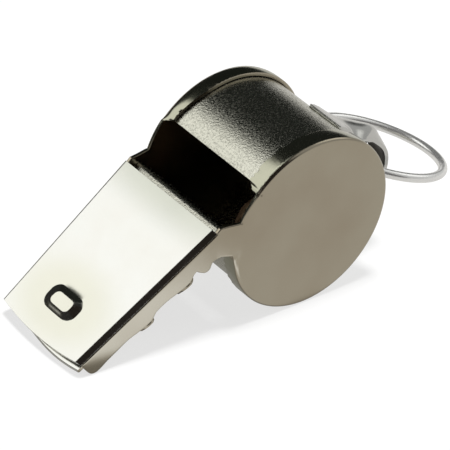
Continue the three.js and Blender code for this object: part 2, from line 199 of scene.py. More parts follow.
def make_camera():
    data = bpy.data.cameras.new("camera")
    data.lens = CAMERA_LENS
    data.sensor_width = 36.0
    data.clip_start, data.clip_end = 0.01, 10.0
    camera = bpy.data.objects.new("camera", data)
    bpy.context.scene.collection.objects.link(camera)
    sin_a, cos_a = math.sin(CAMERA_AZIMUTH), math.cos(CAMERA_AZIMUTH)
    sin_e, cos_e = math.sin(CAMERA_ELEVATION), math.cos(CAMERA_ELEVATION)
    back = Vector((sin_a * cos_e, -cos_a * cos_e, sin_e))
    level = Vector((cos_a, sin_a, 0.0))
    above = back.cross(level)
    right = math.cos(CAMERA_ROLL) * level + math.sin(CAMERA_ROLL) * above
    up = -math.sin(CAMERA_ROLL) * level + math.cos(CAMERA_ROLL) * above
    turn = Matrix((right, up, back)).transposed().to_4x4()
    camera.matrix_world = Matrix.Translation(CAMERA_AIM + back * CAMERA_DISTANCE) @ turn
    bpy.context.scene.camera = camera


# ---------- outline helpers: points are (y, z) from the chamber axis ----------

def on_chamber(radius, degrees):
    angle = math.radians(degrees)
    return (radius * math.sin(angle), radius * math.cos(angle))


def chamber_arc(radius, start, end, step=ARC_STEP):
    count = max(1, round(abs(end - start) / step))
    return [on_chamber(radius, start + (end - start) * i / count) for i in range(count + 1)]


def on_mouthpiece(along, height):
    y = TIP_Y + along * math.cos(SLOPE) - height * math.sin(SLOPE)
    z = TIP_Z + along * math.sin(SLOPE) + height * math.cos(SLOPE)
    return (y, z)


def smoothstep(value, low, high):
    t = min(1.0, max(0.0, (value - low) / (high - low)))
    return t * t * (3 - 2 * t)


def half_width(y, z=0.0, side=RIGHT):
    """Centre plane to the outer face of a side plate: tapered cheek, curved neck, flat disc."""
    neck = NECK_HALF_WIDTH[side]
    if y <= NECK_FRONT_Y:
        share = (y - TIP_Y) / (NECK_FRONT_Y - TIP_Y)
        return TIP_HALF_WIDTH + share * (neck - TIP_HALF_WIDTH)
    reach = math.hypot(y, z)
    waist = smoothstep(reach, NECK_FLARE_START, -NECK_FRONT_Y) if y < 0 else 0.0
    if reach < RADIUS:
        waist *= (1 - smoothstep(-z, *NECK_FADE_BELOW)) * (1 - smoothstep(z, *NECK_FADE_ABOVE))
    return HALF_WIDTH - waist * (HALF_WIDTH - neck)


def spline(points, count):
    """Smooth curve through 2-D points (Catmull-Rom), count steps to each span."""
    ends = [points[0], *points, points[-1]]
    out = []
    for i in range(1, len(ends) - 2):
        p0, p1, p2, p3 = (Vector(p) for p in ends[i - 1:i + 3])
        for k in range(count):
            t = k / count
            out.append(tuple(0.5 * (2 * p1 + (p2 - p0) * t + (2 * p0 - 5 * p1 + 4 * p2 - p3) * t ** 2
                                    + (3 * p1 - p0 - 3 * p2 + p3) * t ** 3)))
    out.append(tuple(points[-1]))
    return out


def resample(points, step):
    """Adds points along the straight runs so that none is longer than step."""
    out = [points[0]]
    for a, b in zip(points, points[1:]):
        count = max(1, math.ceil(math.dist(a, b) / step))
        for i in range(1, count + 1):
            out.append((a[0] + (b[0] - a[0]) * i / count, a[1] + (b[1] - a[1]) * i / count))
    return out


MITRE_LEAST, EDGE_MITRE_LEAST = 0.5, 0.6    # limits on how far a corner's mitre reaches out


def sheet_outline(points, thickness):
    """Closed outline of a sheet whose middle runs along the points; thickness is one value or a list."""
    left, right = [], []
    for i, point in enumerate(points):
        thick = thickness[i] if isinstance(thickness, list) else thickness
        before = Vector(points[max(0, i - 1)])
        here = Vector(point)
        after = Vector(points[min(len(points) - 1, i + 1)])
        incoming = (here - before) if i else (after - here)
        outgoing = (after - here) if i < len(points) - 1 else (here - before)
        incoming.normalize()
        outgoing.normalize()
        heading = (incoming + outgoing).normalized()
        side = Vector((-heading.y, heading.x)) * (thick / 2 / max(MITRE_LEAST, heading.dot(incoming)))
        left.append(tuple(here + side))
        right.append(tuple(here - side))
    return right + left[::-1]


# ---------- mesh helpers ----------

WELD_DISTANCE = 2e-7                 # metres
BEVEL_ANGLE = math.radians(40)       # sharper edges than this are rounded

def to_frame(x, y, z):
    return (AXIS + Vector((x, y, z))) * MM


def add_object(name, vertices, faces, material, body, nodes, sharp=35.0, bevel=0.0, segments=2):
    mesh = bpy.data.meshes.new(name)
    mesh.from_pydata([to_frame(*v) for v in vertices], [], faces)
    work = bmesh.new()
    work.from_mesh(mesh)
    bmesh.ops.remove_doubles(work, verts=work.verts, dist=WELD_DISTANCE)
    bmesh.ops.recalc_face_normals(work, faces=work.faces)
    work.to_mesh(mesh)
    work.free()
    mesh.polygons.foreach_set("use_smooth", [True] * len(mesh.polygons))
    mesh.set_sharp_from_angle(angle=math.radians(sharp))
    mesh.materials.append(material)
    piece = bpy.data.objects.new(name, mesh)
    bpy.context.scene.collection.objects.link(piece)
    if bevel:
        rounding = piece.modifiers.new("rounded_edges", "BEVEL")
        rounding.width = bevel * MM
        rounding.segments = segments
        rounding.limit_method = "ANGLE"
        rounding.angle_limit = BEVEL_ANGLE
        rounding.harden_normals = True
    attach(piece, body)
    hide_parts(*nodes)
    return piece


def prism(outline, columns):
    """Closed solid from a (y, z) outline; columns gives the x of each slice, as functions of y and z."""
    vertices, faces = [], []
    count = len(outline)
    for column in columns:
        vertices += [(column(y, z), y, z) for y, z in outline]
    for c in range(len(columns) - 1):
        for i in range(count):
            j = (i + 1) % count
            a, b = c * count + i, c * count + j
            faces.append((a, b, b + count, a + count))
    faces.append(tuple(reversed(range(count))))
    faces.append(tuple((len(columns) - 1) * count + i for i in range(count)))
    return vertices, faces


def side_of(share):
    return RIGHT if share > 0 else LEFT


def slice_shares(slices):
    """Places of the slices across a piece, from -1 at its left to 1 at its right."""
    return [2 * i / slices - 1 for i in range(slices + 1)]


def between_cheeks(outline):
    """Columns across the space between the side plates, following their taper."""
    def column(share):
        return lambda y, z: share * (half_width(y, side=side_of(share)) - SHEET - SEAM)
    return prism(outline, [column(share) for share in slice_shares(CHEEK_SLICES)])


# ---------- materials ----------

def new_material(name):
    material = bpy.data.materials.new(name)
    material.use_nodes = True
    nodes = material.node_tree.nodes
    return material, nodes, material.node_tree.links, nodes["Principled BSDF"]


def noise_node(nodes, links, coordinates, scale, detail=3.0, stretch=None, roughness=0.5):
    texture = nodes.new("ShaderNodeTexNoise")
    texture.inputs["Scale"].default_value = scale
    texture.inputs["Detail"].default_value = detail
    texture.inputs["Roughness"].default_value = roughness
    if stretch:
        mapping = nodes.new("ShaderNodeMapping")
        mapping.inputs["Scale"].default_value = stretch
        links.new(coordinates, mapping.inputs["Vector"])
        coordinates = mapping.outputs["Vector"]
    links.new(coordinates, texture.inputs["Vector"])
    return texture.outputs["Fac"]


def ramp_node(nodes, links, value, stops):
    ramp = nodes.new("ShaderNodeValToRGB")
    links.new(value, ramp.inputs["Fac"])
    elements = ramp.color_ramp.elements
    while len(elements) < len(stops):
        elements.new(0.5)
    for element, (position, colour) in zip(elements, stops):
        element.position = position
        element.color = (*colour, 1.0)
    return ramp.outputs["Color"]


def range_node(nodes, links, value, low, high, start=0.3, end=0.7):
    spread = nodes.new("ShaderNodeMapRange")
    spread.inputs["From Min"].default_value = start
    spread.inputs["From Max"].default_value = end
    spread.inputs["To Min"].default_value = low
    spread.inputs["To Max"].default_value = high
    links.new(value, spread.inputs["Value"])
    return spread.outputs["Result"]


def fade_node(nodes, links, value, start, end, before=1.0, after=0.0):
    """Smooth step over a value, between what it is up to the start and after the end."""
    fade = nodes.new("ShaderNodeMapRange")
    fade.interpolation_type = "SMOOTHSTEP"
    fade.inputs["From Min"].default_value = start
    fade.inputs["From Max"].default_value = end
    fade.inputs["To Min"].default_value = before
    fade.inputs["To Max"].default_value = after
    links.new(value, fade.inputs["Value"])
    return fade.outputs["Result"]


def dot_node(nodes, links, place, direction):
    dot = nodes.new("ShaderNodeVectorMath")
    dot.operation = "DOT_PRODUCT"
    dot.inputs[1].default_value = direction
    links.new(place, dot.inputs[0])
    return dot.outputs["Value"]


MIX_FACTOR, MIX_FIRST, MIX_SECOND, MIX_RESULT = 0, 6, 7, 2     # sockets of a Mix node set to colour


def mix_node(nodes, links, factor, first, second):
    """Blend of a first colour, given as a value or a socket, and a second one, given as a value."""
    blend = nodes.new("ShaderNodeMix")
    blend.data_type = "RGBA"
    links.new(factor, blend.inputs[MIX_FACTOR])
    if isinstance(first, tuple):
        blend.inputs[MIX_FIRST].default_value = (*first, 1.0)
    else:
        links.new(first, blend.inputs[MIX_FIRST])
    blend.inputs[MIX_SECOND].default_value = (*second, 1.0)
    return blend.outputs[MIX_RESULT]


def bump_node(nodes, links, height, strength, distance, below=None):
    bump = nodes.new("ShaderNodeBump")
    bump.inputs["Strength"].default_value = strength
    bump.inputs["Distance"].default_value = distance
    links.new(height, bump.inputs["Height"])
    if below:
        links.new(below, bump.inputs["Normal"])
    return bump.outputs["Normal"]


SCRATCH_SCALE, SCRATCH_DEPTH = 900.0, 0.00001


def metal(name, light, dark, rough, grain_scale, grain, scratch_stretch, scratch, mottle=60.0,
          grain_depth=0.00002, polish_scale=240.0, metallic=1.0):
    """Plated metal: mottled tone, uneven polish, fine grain and hairline scratches."""
    material, nodes, links, shader = new_material(name)
    place = nodes.new("ShaderNodeTexCoord").outputs["Object"]
    tone = noise_node(nodes, links, place, mottle, detail=4.0)
    links.new(ramp_node(nodes, links, tone, ((0.3, dark), (0.7, light))), shader.inputs["Base Color"])
    polish = noise_node(nodes, links, place, polish_scale, detail=2.0)
    links.new(range_node(nodes, links, polish, *rough), shader.inputs["Roughness"])
    fine = noise_node(nodes, links, place, grain_scale, detail=2.0)
    lines = noise_node(nodes, links, place, SCRATCH_SCALE, detail=2.0, stretch=scratch_stretch)
    surface = bump_node(nodes, links, fine, grain, grain_depth)
    surface = bump_node(nodes, links, lines, scratch, SCRATCH_DEPTH, surface)
    links.new(surface, shader.inputs["Normal"])
    shader.inputs["Metallic"].default_value = metallic
    return material


def cork_material():
    material, nodes, links, shader = new_material("cork")
    place = nodes.new("ShaderNodeTexCoord").outputs["Object"]
    speck = noise_node(nodes, links, place, 1400.0, detail=5.0, roughness=0.7)
    # the cork's own speckle, in tones darkened a little as painted shade for the pea inside the chamber
    colour = ramp_node(nodes, links, speck, ((0.3, (0.06, 0.03, 0.015)), (0.5, (0.25, 0.15, 0.08)),
                                             (0.75, (0.42, 0.28, 0.16))))
    links.new(colour, shader.inputs["Base Color"])
    links.new(bump_node(nodes, links, speck, strength=0.6, distance=0.0001), shader.inputs["Normal"])
    shader.inputs["Roughness"].default_value = 0.9
    return material


def tone_spot(material, tone, centre, inner, outer, stretch):
    """Fades a metal's tone to another one round a spot given in mm from the chamber axis."""
    nodes, links = material.node_tree.nodes, material.node_tree.links
    shader = nodes["Principled BSDF"]
    mapping = nodes.new("ShaderNodeMapping")
    spot = (AXIS + Vector(centre)) * MM
    mapping.inputs["Location"].default_value = [-a * b for a, b in zip(spot, stretch)]
    mapping.inputs["Scale"].default_value = stretch
    links.new(nodes.new("ShaderNodeTexCoord").outputs["Object"], mapping.inputs["Vector"])
    reach = nodes.new("ShaderNodeVectorMath")
    reach.operation = "LENGTH"
    links.new(mapping.outputs["Vector"], reach.inputs[0])
    near = fade_node(nodes, links, reach.outputs["Value"], inner * MM, outer * MM)
    plain = shader.inputs["Base Color"].links[0].from_socket
    links.new(mix_node(nodes, links, near, plain, tone), shader.inputs["Base Color"])


def top_metal():
    """The top plate's finish, yellower round the boss, and darker and yellower along the rear edge."""
    material = metal("nickel_top", light=(0.69, 0.692, 0.67), dark=(0.65, 0.645, 0.615), rough=(0.10, 0.16),
                     grain_scale=2500.0, grain=0.2, scratch_stretch=(1, 0.05, 0.05), scratch=0.06,
                     mottle=240.0)
    boss = (BOSS_X, *on_mouthpiece(BOSS_ALONG, 0.0))
    rear_edge = (-1.0, *on_mouthpiece(TOP_LENGTH + 1.0, 0.0))
    tone_spot(material, (0.62, 0.615, 0.54), boss, inner=2.5, outer=7.0, stretch=(0.7, 1.0, 1.0))
    # darker and yellower along the rear edge
    tone_spot(material, (0.50, 0.51, 0.455), rear_edge, inner=1.0, outer=6.0, stretch=(0.25, 1.0, 1.0))
    return material


TOP_METAL = top_metal()
# a darker copy of the top plate's nickel: painted shade on the side plates and the underside
SHADED_SIDE_METAL = metal("nickel_side_shaded", light=(0.40, 0.365, 0.285), dark=(0.355, 0.31, 0.235), rough=(0.17, 0.25),
                   grain_scale=1800.0, grain=0.15, scratch_stretch=(0.05, 1, 0.05), scratch=0.08,
                   mottle=100.0)
# darker copy of the nickel with scratches of its own: painted shade on the rims' outward faces
SHADED_FLANGE_METAL = metal("nickel_flange_shaded", light=(0.42, 0.42, 0.33), dark=(0.37, 0.365, 0.285),
                     rough=(0.13, 0.20), grain_scale=2200.0, grain=0.15, scratch_stretch=(3, 0.1, 0.1),
                     scratch=0.25)
BARREL_METAL = metal("nickel_barrel", light=(0.57, 0.565, 0.495), dark=(0.52, 0.515, 0.445),
                     rough=(0.10, 0.38), grain_scale=5200.0, grain=0.9, scratch_stretch=(4, 0.15, 0.15),
                     scratch=0.3, grain_depth=0.000036, polish_scale=4200.0)
LUG_METAL = metal("nickel_lug", light=(0.58, 0.58, 0.56), dark=(0.52, 0.52, 0.50), rough=(0.10, 0.18),
                  grain_scale=2000.0, grain=0.2, scratch_stretch=(1, 0.1, 0.1), scratch=0.05)
WIRE_METAL = metal("chrome_wire", light=(0.84, 0.84, 0.83), dark=(0.80, 0.80, 0.79), rough=(0.22, 0.28),
                   grain_scale=2000.0, grain=0.08, scratch_stretch=(0.1, 1, 1), scratch=0.03, metallic=0.8)
# near-black nickel: painted shade on the strap's faces inside the bow
HOLLOW_SHADE_METAL = metal("nickel_hollow_shade", light=(0.09, 0.085, 0.075), dark=(0.05, 0.05, 0.045),
                      rough=(0.25, 0.35), grain_scale=2000.0, grain=0.3, scratch_stretch=(1, 1, 1),
                      scratch=0.1)
SOLDER_METAL = metal("solder", light=(0.60, 0.60, 0.55), dark=(0.45, 0.44, 0.37), rough=(0.30, 0.45),
                     grain_scale=1500.0, grain=0.8, scratch_stretch=(1, 1, 1), scratch=0.2, mottle=400.0)
CORK = cork_material()


# ---------- side plates ----------

def neck_top(y):
    return NECK_TOP + (y - NECK_FRONT_Y) * NECK_TOP_RISE


def neck_bottom(y):
    return NECK_BOTTOM - (y - NECK_FRONT_Y) * NECK_BOTTOM_FALL


def rib_bulge(along):
    """How far the metal is pressed down at a rib, 0 to 1: a long rise and a short fall."""
    for start, crest, end in RIBS:
        if start < along < end:
            return smoothstep(along, start, crest) * (1 - smoothstep(along, crest + RIB_CREST_LENGTH, end))
    return 0.0


def cheek_line(along):
    return CHEEK_LEVEL + (along - CHEEK_LEVEL_ALONG) * CHEEK_RISE


def cheek_bottom(along):
    """Height of a cheek's lower edge, behind its rounded front corner."""
    return cheek_line(along) - CHEEK_BULGE * rib_bulge(along)


def rim_outline():
    """The disc's edge, where the turned-in flange grows to its full width and runs round."""
    rim = []
    for step in range(FLANGE_CORNER_STEPS):
        share = step / FLANGE_CORNER_STEPS
        width = SHEET + math.sqrt(share) * (FLANGE_WIDTH - SHEET)
        rim.append((on_chamber(RADIUS, FLANGE_START + share * FLANGE_CORNER), width, RIM_ROUNDING))
    for point in chamber_arc(RADIUS, FLANGE_START + FLANGE_CORNER, FLANGE_END + 360):
        rim.append((point, FLANGE_WIDTH, RIM_ROUNDING))
    return rim


def plate_outline(fold_radius):
    """Outline of a side plate as (point, flange width, edge rounding), clockwise from the blade."""
    seam = -fold_radius * (1 - math.cos(FOLD_END)) - SEAM
    heel_y = NECK_FRONT_Y + 0.9
    plain = [(NECK_JUNCTION_Y, neck_bottom(NECK_JUNCTION_Y)), (heel_y, neck_bottom(heel_y))]
    heel = spline([plain[-1], (NECK_FRONT_Y - 0.1, neck_bottom(NECK_FRONT_Y) - 0.5),
                   on_mouthpiece(HEEL_START + 1.3, -3.85), on_mouthpiece(HEEL_START + 0.6, -3.72),
                   on_mouthpiece(HEEL_START, cheek_bottom(HEEL_START) - 0.15)], 5)
    alongs = [HEEL_START - CHEEK_STEP * k for k in range(CHEEK_STEPS + 1)]
    lower = [on_mouthpiece(along, cheek_bottom(along)) for along in alongs]
    tip = spline([lower[-1], on_mouthpiece(1.4, -3.08), on_mouthpiece(0.72, -3.0), on_mouthpiece(0.25, -2.6),
                  on_mouthpiece(0.08, -1.8), on_mouthpiece(0.05, seam)], 5)
    upper = [on_mouthpiece(0.05, seam), on_mouthpiece(TOP_LENGTH + SEAM, seam)]
    window = [upper[-1], on_mouthpiece(TOP_LENGTH + SEAM, -0.35)]
    window += [(y, neck_top(y)) for y in WINDOW_SPOTS_Y]
    chain = resample(plain, 0.4)[:-1] + heel[:-1] + resample(lower, 0.6)[:-1] + tip[:-1]
    chain += resample(upper, 0.6)[:-1] + resample(window, 0.35)
    front = chamber_arc(RADIUS - 0.05, -71.0, FLANGE_START - 0.3)
    plain_edges = [(point, SHEET, EDGE_ROUNDING) for point in chain]
    return rim_outline() + plain_edges + [(point, SHEET, RIM_ROUNDING * 0.5) for point in front]


def loop_normals(points):
    """Inward normal at each point of a closed outline, lengthened at corners like a mitre."""
    normals = []
    count = len(points)
    for i in range(count):
        before, here, after = (Vector(points[k % count]) for k in (i - 1, i, i + 1))
        incoming = (here - before).normalized()
        outgoing = (after - here).normalized()
        heading = (incoming + outgoing).normalized()
        normals.append(Vector((heading.y, -heading.x)) / max(EDGE_MITRE_LEAST, heading.dot(incoming)))
    return normals


def inside(point, boundary):
    """Whether a point is inside a closed outline."""
    odd = False
    for a, b in zip(boundary, boundary[1:] + boundary[:1]):
        if (a.y > point.y) != (b.y > point.y):
            if point.x < (b.x - a.x) * (point.y - a.y) / (b.y - a.y) + a.x:
                odd = not odd
    return odd


def fill_face(boundary):
    """Triangles over a closed outline, with inner points so that a curved sheet stays smooth."""
    ys, zs = [p.x for p in boundary], [p.y for p in boundary]
    inner = []
    y = min(ys) + FILL_SPACING
    while y < max(ys):
        z = min(zs) + FILL_SPACING * 0.5
        while z < max(zs):
            inner.append(Vector((y, z)))
            z += FILL_SPACING * 1.7
        y += FILL_SPACING
    count = len(boundary)
    edges = [(i, (i + 1) % count) for i in range(count)]
    clear = [p for p in inner if min((p - q).length for q in boundary) > FILL_CLEARANCE]
    keep = [p for p in clear if inside(p, boundary)]
    points, _, faces, *_ = delaunay_2d_cdt(boundary + keep, edges, [], 1, 1e-6)
    return points, faces


def left_flange(point, flange):
    """Width of the left plate's flange, which is narrower at its front end."""
    if flange <= SHEET or not point[0] < 0 < point[1]:
        return flange
    angle = math.degrees(math.atan2(*point))
    cut = FLANGE_CUT * (1 - smoothstep(angle, *FLANGE_CUT_ANGLES))
    return max(SHEET + FLANGE_LEAST, flange - cut)


def edge_section(side, flange, rounding):
    """(inset, depth) pairs over a side plate's edge, from its outer face round to its inner one."""
    thick = FLANGE_SHEET if flange > SHEET else SHEET * 0.4
    crown = min(RIM_CROWN[side], RIM_CROWN_SHARE * flange) if rounding == RIM_ROUNDING else rounding
    section = [(rounding + EDGE_BORDER, 0.0), (rounding, 0.0)]
    for k in range(1, ROUNDING_STEPS + 1):
        angle = k / ROUNDING_STEPS * math.pi / 2
        section.append((rounding * (1 - math.sin(angle)), crown * (1 - math.cos(angle))))
    section += [(0.0, flange - EDGE_CHAMFER), (EDGE_CHAMFER * 0.3, flange - EDGE_CHAMFER * 0.3),
                (EDGE_CHAMFER, flange), (thick, flange), (thick, SHEET), (thick + EDGE_BORDER, SHEET)]
    return section


def side_plate(name, side):
    outline = plate_outline(FOLD_RADIUS[side])
    rings = []
    for (point, flange, rounding), normal in zip(outline, loop_normals([p for p, _, _ in outline])):
        reach = left_flange(point, flange) if side == LEFT else flange
        section = edge_section(side, reach, rounding)
        rings.append([(Vector(point) + normal * inset, depth) for inset, depth in section])
    vertices, faces = [], []
    width = len(rings[0])
    for ring in rings:
        for point, depth in ring:
            vertices.append((side * (half_width(*point, side) - depth), point.x, point.y))
    count = len(rings)
    for i in range(count):
        j = (i + 1) % count
        for k in range(width - 1):
            faces.append((i * width + k, j * width + k, j * width + k + 1, i * width + k + 1))
    for column, depth in ((0, 0.0), (width - 1, SHEET)):
        points, triangles = fill_face([ring[column][0] for ring in rings])
        start = len(vertices)
        vertices += [(side * (half_width(*p, side) - depth), p.x, p.y) for p in points]
        faces += [tuple(start + i for i in face) for face in triangles]
    # side plates in the painted-shade nickel
    plate = add_object(name + "_pressing", vertices, faces, SHADED_SIDE_METAL, "whistle_body", [name])
    # outward faces of the rim take the flange's painted-shade nickel
    plate.data.materials.append(SHADED_FLANGE_METAL)
    for face in plate.data.polygons:
        spot = Vector(face.center) / MM - AXIS
        outside = math.hypot(spot.y, spot.z) > RADIUS - FLANGE_SHEET * 0.5
        outside = outside and spot.y > FLANGE_FACES_Y
        face.material_index = int(outside and abs(face.normal.x) < FLANGE_FACING)
    return plate


# ---------- barrel, windway floor and underside ----------

def barrel_strip():
    inner = BARREL_RADIUS - BARREL_SHEET
    outline = chamber_arc(BARREL_RADIUS, BARREL_END + 360, BLADE_ANGLE, BARREL_STEP)
    outline += chamber_arc(inner, BLADE_ANGLE + BLADE_BEVEL, BARREL_END + 360, BARREL_STEP)
    half = HALF_WIDTH - SHEET - BARREL_GAP
    columns = [lambda y, z, share=share: half * share for share in slice_shares(BARREL_SLICES)]
    vertices, faces = prism(outline, columns)
    return add_object("barrel_band", vertices, faces, BARREL_METAL, "whistle_body", ["barrel_strip"],
                      bevel=0.05)


def windway_floor():
    height = FLOOR_TOP - FLOOR_SHEET / 2
    run = resample([on_mouthpiece(FLOOR_START, height), on_mouthpiece(FLOOR_BEND, height)], 1.0)
    for step in range(1, BEND_STEPS + 1):
        angle = FLOOR_BEND_ANGLE * step / BEND_STEPS
        run.append(on_mouthpiece(FLOOR_BEND + FLOOR_BEND_RADIUS * math.sin(angle),
                                 height - FLOOR_BEND_RADIUS * (1 - math.cos(angle))))
    vertices, faces = between_cheeks(sheet_outline(run, FLOOR_SHEET))
    return add_object("windway_tongue", vertices, faces, BARREL_METAL, "whistle_body", ["windway_floor"],
                      bevel=0.05)


def underside_run():
    """(y, z) points along the middle of the sheet, which drops below the cheeks at each rib."""
    run = []
    for k in range(UNDERSIDE_STEPS):
        along = UNDERSIDE_START + UNDERSIDE_STEP * k
        crest = cheek_line(along) - CHEEK_BULGE - RIB_GAP - UNDERSIDE_SHEET / 2
        run.append(on_mouthpiece(along, UNDERSIDE_LEVEL + rib_bulge(along) * (crest - UNDERSIDE_LEVEL)))
    run += [on_mouthpiece(17.6, UNDERSIDE_LEVEL), on_mouthpiece(18.6, UNDERSIDE_LEVEL - 0.05)]
    run += [(-12.6, 0.25), (-RADIUS + 0.3, 0.1)]
    return run


def lip_outline():
    """The front edge folded back on itself: flat top, round nose, flat underneath."""
    middle = (LIP_TOP + LIP_BOTTOM) / 2
    radius = (LIP_TOP - LIP_BOTTOM) / 2
    points = [on_mouthpiece(1.3, LIP_TOP), on_mouthpiece(0.3, LIP_TOP)]
    for step in range(LIP_STEPS + 1):
        angle = step / LIP_STEPS * math.pi
        points.append(on_mouthpiece(LIP_FRONT + radius - radius * math.sin(angle),
                                    middle + radius * math.cos(angle)))
    return points + [on_mouthpiece(0.6, LIP_BOTTOM)]


def along_and_height(y, z):
    cos, sin = math.cos(SLOPE), math.sin(SLOPE)
    return ((y - TIP_Y) * cos + (z - TIP_Z) * sin, (z - TIP_Z) * cos - (y - TIP_Y) * sin)


def underside_column(share):
    """x of one slice: between the cheeks, and out to their faces where a rib stands below them."""
    def edge(y, z):
        along, height = along_and_height(y, z)
        drop = cheek_bottom(along) - height
        below = smoothstep(drop, 0.0, CHEEK_LAP) if RIBS[0][0] < along < RIBS[1][2] else 0.0
        return share * (half_width(y, side=side_of(share)) - (1 - below) * (SHEET + SEAM))
    return edge


def underside_plate():
    outline = lip_outline() + sheet_outline(underside_run(), UNDERSIDE_SHEET)
    vertices, faces = prism(outline, [underside_column(share) for share in slice_shares(UNDERSIDE_SLICES)])
    bowed = []
    for x, y, z in vertices:
        along, height = along_and_height(y, z)
        forward = 1 - smoothstep(along, *LIP_SHIFT_RANGE)
        skew = LIP_SET_BACK * math.tanh(LIP_SET_BACK_RATE * max(0.0, LIP_SQUARE_X - x) ** 2)
        shift = (front_edge(x) + FRONT_BOW + skew) * forward
        bowed.append((x, *on_mouthpiece(along + shift, height)))
    # underside in the side plates' painted-shade nickel; its folded lip in the top plate's nickel
    plate = add_object("underside_pressing", bowed, faces, SHADED_SIDE_METAL, "whistle_body", ["underside_plate"],
                       sharp=45.0, bevel=0.05)
    plate.data.materials.append(TOP_METAL)
    for face in plate.data.polygons:
        spot = Vector(face.center) / MM - AXIS
        face.material_index = int(along_and_height(spot.y, spot.z)[0] < LIP_METAL_LENGTH)
    return plate


# ---------- mouthpiece top ----------

def front_edge(x):
    """Where the bowed front edge lies along the slope: at 0 at its corners, and before it in between."""
    chord = TIP_HALF_WIDTH
    radius = (chord ** 2 + FRONT_BOW ** 2) / (2 * FRONT_BOW)
    return radius - FRONT_BOW - math.sqrt(radius ** 2 - min(abs(x), chord) ** 2)


def beyond_rounded(x, y, half_x, half_y, corner):
    """Distance outside a rounded rectangle, negative inside."""
    across, up = abs(x) - half_x + corner, abs(y) - half_y + corner
    return math.hypot(max(across, 0.0), max(up, 0.0)) + min(max(across, up), 0.0) - corner


def boss_height(x, along):
    inside_foot = -beyond_rounded(x - BOSS_X, along - BOSS_ALONG, *BOSS_FOOT)
    outside_flat = beyond_rounded(x - BOSS_X, along - BOSS_ALONG, *BOSS_FLAT)
    if inside_foot <= 0:
        return 0.0
    if outside_flat <= 0:
        return BOSS_HEIGHT
    climb = inside_foot / (inside_foot + outside_flat)
    rounded = smoothstep(climb, 0.0, 1.0)
    return BOSS_HEIGHT * (BOSS_STRAIGHT * climb + (1 - BOSS_STRAIGHT) * rounded)


def graded(low, high, dense_low, dense_high):
    """Values from low to high, closely spaced between dense_low and dense_high."""
    def run(a, b, step):
        count = max(1, math.ceil((b - a) / step))
        return [a + (b - a) * i / count for i in range(count)]
    front, dense = run(low, dense_low, GRID_COARSE), run(dense_low, dense_high, GRID_FINE)
    return front + dense + run(dense_high, high, GRID_COARSE) + [high]


def top_section(halves, flat_values):
    """(x, height, inward normal) across the plate: rolled edge, flat, rolled edge."""
    turn = [k / FOLD_STEPS * FOLD_END for k in range(FOLD_STEPS + 1)]
    left_radius, right_radius = FOLD_RADIUS[LEFT], FOLD_RADIUS[RIGHT]
    left, right = halves[0] - left_radius, halves[1] - right_radius
    section = []
    for angle in reversed(turn):
        s, c = math.sin(angle), math.cos(angle)
        section.append((-left - left_radius * s, left_radius * (c - 1), (s, -c)))
    section += [(x * (right if x > 0 else left), 0.0, (0, -1)) for x in flat_values]
    for angle in turn:
        s, c = math.sin(angle), math.cos(angle)
        section.append((right + right_radius * s, right_radius * (c - 1), (-s, -c)))
    return section


def mouthpiece_top():
    reach = GRID_HALF - GRID_MARGIN
    flat_values = [x / GRID_HALF for x in graded(-reach, reach, *BOSS_GRID_X)]
    alongs = graded(0.0, TOP_LENGTH, *BOSS_GRID_ALONG)
    outer, inner = [], []
    for along in alongs:
        share = along / TOP_LENGTH
        y = on_mouthpiece(along, 0)[0]
        halves = (half_width(y, side=LEFT), half_width(y, side=RIGHT))
        for x, height, (nx, nh) in top_section(halves, flat_values):
            start = front_edge(x)
            here = start + (TOP_LENGTH - start) * share
            lift = boss_height(x, here) if height == 0.0 else 0.0
            outer.append((x, *on_mouthpiece(here, height + lift)))
            inner.append((x + nx * SHEET, *on_mouthpiece(here, height + lift + nh * SHEET)))
    width = len(outer) // len(alongs)
    rows = len(alongs)
    vertices = outer + inner
    shift = len(outer)
    faces = []
    for r in range(rows - 1):
        for c in range(width - 1):
            a = r * width + c
            faces.append((a, a + 1, a + 1 + width, a + width))
            faces.append((a + shift, a + width + shift, a + 1 + width + shift, a + 1 + shift))
    for c in range(width - 1):
        last = (rows - 1) * width + c
        faces.append((c, c + shift, c + 1 + shift, c + 1))
        faces.append((last, last + 1, last + 1 + shift, last + shift))
    for r in range(rows - 1):
        a, b = r * width, r * width + width - 1
        faces.append((a, a + width, a + width + shift, a + shift))
        faces.append((b, b + shift, b + width + shift, b + width))
    return add_object("mouthpiece_cover", vertices, faces, TOP_METAL, "whistle_body", ["mouthpiece_top"],
                      sharp=50.0, bevel=0.08)


# ---------- lug, solder, ring and pea ----------

def lug_run():
    """(y, z) points along the middle of the strap and the strap's thickness at each."""
    foot = BARREL_RADIUS + LUG_LIFT
    front = []
    for degrees in range(LUG_FOOT_DEGREES):
        thick = LUG_EDGE + (SHEET - LUG_EDGE) * smoothstep(degrees, 0.0, LUG_EDGE_DEGREES)
        front.append((on_chamber(foot + thick / 2, LUG_START + degrees), thick))
    rear = chamber_arc(foot + SHEET / 2, LUG_END - LUG_REAR_DEGREES, LUG_END)
    bow = spline([front[-1][0], (8.3, 7.4), (10.6, 6.4), (13.15, 5.15), (14.2, 3.7), (14.95, 2.2),
                  (15.29, 0.7), (15.15, -0.8), (14.2, -1.75), (12.4, -2.15), rear[0]], 7)
    run = [point for point, _ in front[:-1]] + bow + rear[1:]
    thickness = [thick for _, thick in front[:-1]]
    return run, thickness + [SHEET] * (len(run) - len(thickness))


def lug_crown(y, z):
    """How far the strap's edges bend down towards the barrel."""
    angle = math.degrees(math.atan2(y, z))
    rise = smoothstep(angle, *LUG_CROWN_RISE)
    ease = 1 - LUG_CROWN_EASING * smoothstep(angle, *LUG_CROWN_EASE)
    return LUG_CROWN * rise * ease * (1 - smoothstep(angle, *LUG_CROWN_FALL))


def lug_side(which):
    def edge(y):
        share = smoothstep(y, *LUG_TAPER[which])
        return LUG_FOOT_SIDES[which] + share * (LUG_BOW_SIDES[which] - LUG_FOOT_SIDES[which])
    return edge


